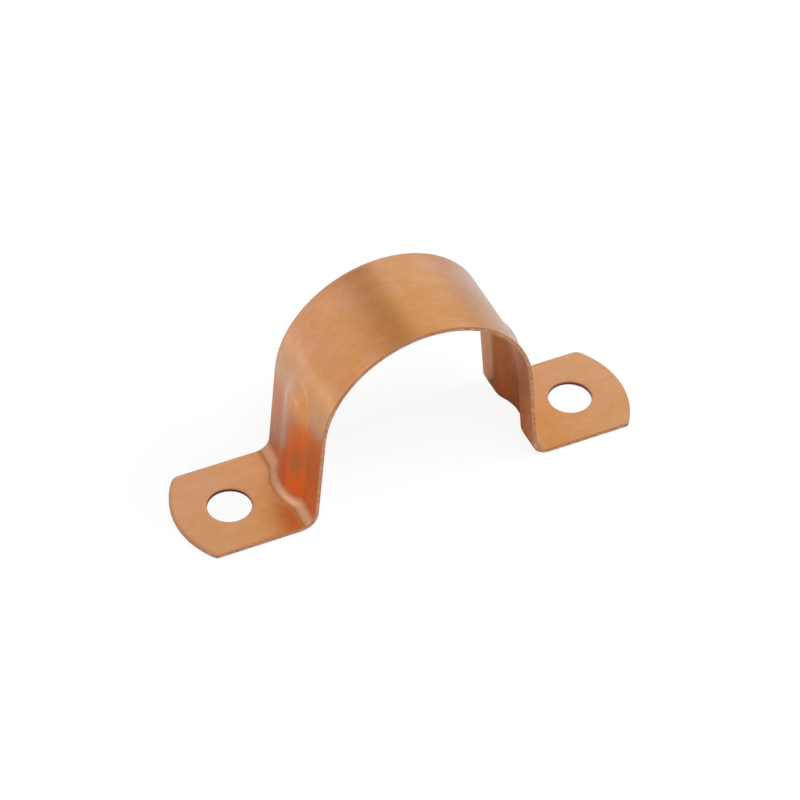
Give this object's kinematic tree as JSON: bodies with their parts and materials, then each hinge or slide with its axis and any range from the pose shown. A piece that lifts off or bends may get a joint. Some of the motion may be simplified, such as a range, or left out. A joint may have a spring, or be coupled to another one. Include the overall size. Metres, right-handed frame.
{
  "type": "saddle pipe clip",
  "caption": "Copper saddle clip: a half-round strap with ribbed legs and flat drilled feet that screws down over a pipe and holds it to a wall.",
  "frame": {"origin": "on the wall face under the feet, midway between the two screw holes and in the middle of the strip's width", "axes": "+X from hole to hole, +Y along the pipe, +Z away from the wall"},
  "size_m": [0.0504, 0.012, 0.0221],
  "materials": {
    "copper": "rolled copper strip, satin, with fine lines along the strip"
  },
  "bodies": {
    "root": {"clip_strap": "copper"}
  },
  "joints": []
}
